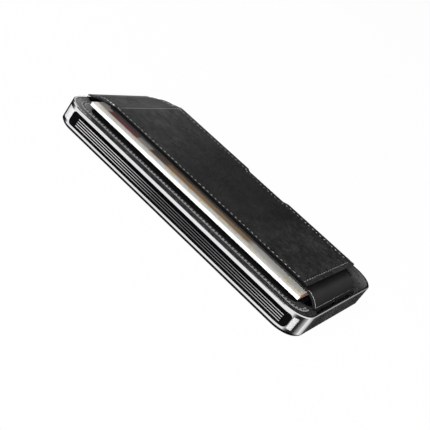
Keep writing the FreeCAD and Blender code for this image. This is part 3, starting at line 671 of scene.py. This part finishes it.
def cover_top(x, inset):
    """Height of the leather's upper face, with rounded edges, stitch grooves and a lapped seam."""
    z = face_z(x)
    end = min(near_x - x, x - tip_x, inset)
    if end < EDGE_RADIUS:
        rounding = 1 - math.sqrt(max(0.0, 1 - (1 - end / EDGE_RADIUS) ** 2))
        z -= EDGE_DROP * rounding * (1.0 if x > SEAM_X else TIP_EDGE_SHARE)
    groove = min(abs(inset - LINE), abs(near_x - x - NEAR_LINE), abs(x - SEAM_X - SEAM_LINE),
                 abs(x - tip_x - TIP_LINE))
    z -= GROOVE_DEPTH * math.exp(-(groove / GROOVE_WIDTH) ** 2)
    if x < SEAM_X:
        z -= LAP_DEPTH * min(1.0, (SEAM_X - x) / LAP_EDGE) * max(0.0, 1 - (SEAM_X - x) / LAP_FADE)
    return z


rings = []
for x in xs:
    y0, y1 = side_at(x, -1), side_at(x, 1)
    edge = INSETS[-1]
    across = [y0 + i for i in INSETS]
    across += [y0 + edge + (y1 - y0 - 2 * edge) * k / INNER_STEPS for k in range(1, INNER_STEPS)]
    across += [y1 - i for i in reversed(INSETS)]
    under = slope(x, top_z - THICK, bend_low, low_z)
    thin = max(under, face_z(x) - EDGE_THICKNESS)
    if near_x - x < NEAR_RIM:
        under = thin
    top = [(x, y, max(cover_top(x, min(y - y0, y1 - y)), thin + LEAST_THICKNESS)) for y in across]
    rings.append(top + [(x, y1 - RIM, thin), (x, y1 - RIM_INNER, thin), (x, y1 - RIM_STEP, under),
                        (x, y0 + RIM_STEP, under), (x, y0 + RIM_INNER, thin), (x, y0 + RIM, thin)])
panel = piece("cover_panel", *loft(rings), MATERIALS["cover_leather"], "money_clip", "cover_leather", 45)
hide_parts("clip_cover")

SIDE_PITCH, SIDE_SINK, ROW_SINK = 1.67, 0.225, 0.17
SEAM_GAP = 0.8                                  # the side rows pause at the seam
spots, holes = [], []
for sign in (-1, 1):
    line = [(x, side_at(x, sign, 0.0) - sign * LINE, face_z(x) - SIDE_SINK)
            for x in xs if near_x - 2.2 > x > tip_x + 0.8]
    spots += [(p, d) for p, d in walk(line, SIDE_PITCH) if abs(p[0] - SEAM_X) > SEAM_GAP]
    holes += [(p, d) for p, d in walk(line, SIDE_PITCH, 0.05) if abs(p[0] - SEAM_X) > SEAM_GAP]
stitches("cover_stitches", spots, 1.2, 0.25, THREAD_LIGHT, "money_clip", "cover_leather")
# rows across the strap: name, place, pitch, thread length and radius
for name, at, pitch, length, radius in (("near", near_x - NEAR_LINE, 1.88, 1.8, 0.13),
                                        ("seam", SEAM_X + SEAM_LINE, 1.5, 0.95, 0.19),
                                        ("tip", tip_x + TIP_LINE, 1.2, 0.8, 0.15)):
    z = face_z(at) - ROW_SINK
    line = [(at, side_at(at, -1) + LINE * 0.8, z), (at, side_at(at, 1) - LINE * 0.8, z)]
    holes += walk(line, pitch, 0.02)
    stitches("cover_stitches_" + name, walk(line, pitch), length, radius, THREAD_LIGHT, "money_clip",
             "cover_leather")
# dark pieces sunk at the stitch holes: painted shade in the holes
holes = [((x, y, z - 0.02), d) for (x, y, z), d in holes]
stitches("cover_holes", holes, 0.42, 0.16, DARK_THREAD_AND_HOLE_SHADE, "money_clip", "cover_leather")


# ------------------------------------------------------------------ clip leaf
leaf_low, leaf_high = corners("clip_leaf")
LEAF_BEND_X, LEAF_RADIUS, LEAF_BEND = 42.30, 6.6, 54.0          # the bend's centre, radius and angle
centre_z = leaf_high[2] - LEAF_RADIUS

# a thin bead where the leaf's bend meets the case
bead_x = LEAF_BEND_X + LEAF_RADIUS * math.sin(math.radians(LEAF_BEND))
bead_z = centre_z + LEAF_RADIUS * math.cos(math.radians(LEAF_BEND))
rings = [[(bead_x + r * math.cos(a), y, bead_z + r * math.sin(a)) for a in turns(10)]
         for y, r in ((leaf_low[1] + 0.15, 0.05), (leaf_low[1] + 0.3, 0.11), (leaf_high[1] - 0.3, 0.11),
                      (leaf_high[1] - 0.15, 0.05))]
piece("leaf_bead", *loft(rings), MATERIALS["spring_steel"], "money_clip", "spring_steel", 60)

# a thin light grey rod down the leaf's open edge, a painted highlight along that edge
EDGE_STEPS, EDGE_FROM = 14, 6
rings = []
for k in range(EDGE_STEPS + 1):
    a = math.radians(EDGE_FROM + (LEAF_BEND - EDGE_FROM) * k / EDGE_STEPS)
    r = 0.10 if 0 < k < EDGE_STEPS else 0.04
    ring = []
    for t in turns(8):
        reach = LEAF_RADIUS + r * math.cos(t)
        y = leaf_low[1] + 0.13 + r * math.sin(t)
        ring.append((LEAF_BEND_X + reach * math.sin(a), y, centre_z + reach * math.cos(a)))
    rings.append(ring)
piece("leaf_edge_highlight", *loft(rings), GREY_PIPING_AND_HIGHLIGHT, "money_clip", "leaf_black", 60)


# ------------------------------------------------------------------ banknotes
low, high = corners("banknote_outer")
SHEET, LAYER_PITCH, LAYERS = 0.12, 0.14, 6
WRAP_STEPS, FOLD_STEPS, LAYER_STEPS = 40, 12, 48


def layer(x0, x1, y0, y1, z, wave):
    """One flat sheet whose open edge wanders a little."""
    rings = []
    for k in range(LAYER_STEPS + 1):
        x = x0 + (x1 - x0) * k / LAYER_STEPS
        edge = y0 + wave * (0.5 + 0.5 * math.sin(x * 0.21 + wave * 40) * math.cos(x * 0.07 + 1))
        rings.append([(x, edge, z), (x, edge + 0.02, z + SHEET), (x, y1, z + SHEET), (x, y1, z)])
    return loft(rings)


# the outer note, folded round the others
fold = (high[2] - low[2]) / 2
fold_y, fold_z = high[1] - fold, low[2] + fold
rings = []
for k in range(WRAP_STEPS + 1):
    x = low[0] + (high[0] - low[0]) * k / WRAP_STEPS
    lip = 0.12 * (0.5 + 0.5 * math.sin(x * 0.17))
    outer = [(x, low[1] + lip, high[2])]
    outer += [(x, *on_circle(fold_y, fold_z, fold, math.pi / 2 - math.pi * j / FOLD_STEPS))
              for j in range(FOLD_STEPS + 1)]
    outer += [(x, low[1], low[2])]
    inner = [(x, low[1], low[2] + SHEET)]
    inner += [(x, *on_circle(fold_y, fold_z, fold - SHEET, -math.pi / 2 + math.pi * j / FOLD_STEPS))
              for j in range(FOLD_STEPS + 1)]
    inner += [(x, low[1] + lip, high[2] - SHEET)]
    rings.append(outer + inner)
wrap = piece("note_wrap", *loft(rings), MATERIALS["note_paper"], "banknotes", "note_paper", 40)
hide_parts("banknote_outer")
sheets = [layer(low[0] + 0.1 * (k % 3), high[0] - 0.12 * (k % 2), low[1] + 0.03, high[1] - 0.75,
                low[2] + LAYER_PITCH * (k + 1), 0.1 + 0.07 * (k % 3)) for k in range(LAYERS)]
layers = piece("note_layers", *merged(sheets), MATERIALS["note_paper"], "banknotes", "note_paper", 40)
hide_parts("banknote_stack")


# ------------------------------------------------------------------ floor, world and lights
def background_rays(tree):
    """A socket that is 1 for the rays that show the background, and 0 for the light on the object."""
    path = tree.nodes.new("ShaderNodeLightPath")
    seen = path.outputs["Is Camera Ray"]
    for ray in ("Is Glossy Ray", "Is Transmission Ray"):
        either = tree.nodes.new("ShaderNodeMath")
        either.operation = "MAXIMUM"
        tree.links.new(seen, either.inputs[0])
        tree.links.new(path.outputs[ray], either.inputs[1])
        seen = either.outputs[0]
    return seen


def blended(tree, *sources):
    """A mix of two shaders, from a factor and the two of them."""
    mixer = tree.nodes.new("ShaderNodeMixShader")
    for source, socket in zip(sources, mixer.inputs):
        tree.links.new(source, socket)
    return mixer.outputs[0]


FLOOR_REACH, FLOOR_DROP, FLOOR_GLOW = 3.0, 0.0001, 0.97
floor_mesh = bpy.data.meshes.new("floor")
s = FLOOR_REACH
floor_mesh.from_pydata([(-s, -s, 0), (s, -s, 0), (s, s, 0), (-s, s, 0)], [], [(0, 1, 2, 3)])
floor = added("floor", floor_mesh)
floor.location.z = -FLOOR_DROP
m = Mat("floor")
m.set(Base_Color=(0.9, 0.9, 0.9), Roughness=0.9)
glow = m.new("ShaderNodeEmission")
m.fill(glow, Color=(1, 1, 1))
m.show(blended(m.t, m.math("MULTIPLY", background_rays(m.t), FLOOR_GLOW), m.b.outputs[0], glow.outputs[0]))
floor_mesh.materials.append(m.m)
floor.visible_glossy = False


def card(name, points, axis, stops):
    """A studio card that only reflections see, shaded along one axis (stops: metres, brightness)."""
    mesh = bpy.data.meshes.new(name)
    mesh.from_pydata(points, [], [(0, 1, 2, 3)])
    obj = added(name, mesh)
    mat = Mat(name)
    first, last = stops[0][0], stops[-1][0]
    at = mat.grey(mat.axis(axis), 0.0, 1.0, first, last)
    shade = mat.new("ShaderNodeEmission")
    mat.fill(shade, Color=mat.ramp(at, [((d - first) / (last - first), (v, v, v)) for d, v in stops]))
    mat.show(shade.outputs[0])
    mesh.materials.append(mat.m)
    obj.visible_camera = obj.visible_diffuse = obj.visible_shadow = obj.visible_transmission = False


def upright_x(y, x0, x1, z0, z1):
    """An upright card that runs along X."""
    return [(x0, y, z0), (x1, y, z0), (x1, y, z1), (x0, y, z1)]


def upright_y(x, y0, y1, z0, z1):
    """An upright card that runs along Y."""
    return [(x, y0, z0), (x, y1, z0), (x, y1, z1), (x, y0, z1)]


def level_at(z, x0, x1, y0, y1):
    """A level card."""
    return [(x0, y0, z), (x1, y0, z), (x1, y1, z), (x0, y1, z)]


card("card_back", upright_x(0.6, -0.9, 0.6, -0.45, 1.0), "X",
     [(-0.9, 0.3), (-0.6, 0.08), (-0.38, 0.03), (-0.2, 0.015), (0.15, 0.008), (0.19, 0.06), (0.26, 0.30),
      (0.36, 0.6), (0.6, 0.8)])
card("card_under", level_at(-0.45, -0.9, 0.6, -0.32, 0.6), "Y",
     [(-0.32, 1.0), (-0.24, 0.05), (-0.1, 0.01), (0.6, 0.01)])
card("card_over", level_at(0.6, -0.7, 0.02, -0.50, -0.06), "X", [(-0.7, 0.005), (-0.10, 0.005), (0.02, 0.9)])
card("card_near", upright_y(0.6, -0.62, 0.36, -0.5, 0.25), "Y",
     [(-0.62, 1.0), (-0.42, 0.25), (-0.30, 0.02), (0.05, 0.02), (0.16, 0.25), (0.36, 0.6)])
card("card_far", upright_y(-0.6, -0.26, 0.5, -0.5, 0.25), "Y",
     [(-0.26, 0.35), (-0.13, 0.06), (-0.03, 0.02), (0.05, 0.01), (0.40, 0.01), (0.5, 0.08)])


world = bpy.data.worlds.new("studio")
bpy.context.scene.world = world
world.use_nodes = True
tree = world.node_tree
tree.nodes.clear()
skies = []
for strength in (0.32, 1.0):                    # the light on the object, and the white that the camera sees
    sky = tree.nodes.new("ShaderNodeBackground")
    sky.inputs["Color"].default_value = (1, 1, 1, 1)
    sky.inputs["Strength"].default_value = strength
    skies.append(sky.outputs[0])
out = tree.nodes.new("ShaderNodeOutputWorld")
tree.links.new(blended(tree, background_rays(tree), *skies), out.inputs[0])


def lamp(name, at, size, watts):
    """A soft square lamp aimed at the object's middle."""
    light = bpy.data.lights.new(name, "AREA")
    light.size = size
    light.energy = watts
    obj = added(name, light)
    obj.location = at
    obj.rotation_euler = (Vector((0, 0, 0.005)) - Vector(at)).to_track_quat("-Z", "Y").to_euler()


lamp("key", (-0.35, -0.6, 0.75), 0.5, 3.6)
lamp("front", (0.15, -0.9, 0.26), 0.4, 12.0)
lamp("back", (-0.36, 0.50, 0.11), 0.22, 0.35)
lamp("glint", (0.17, 0.60, 0.28), 0.12, 0.12)

bpy.context.scene.view_settings.view_transform = "Standard"

bpy.context.view_layer.update()
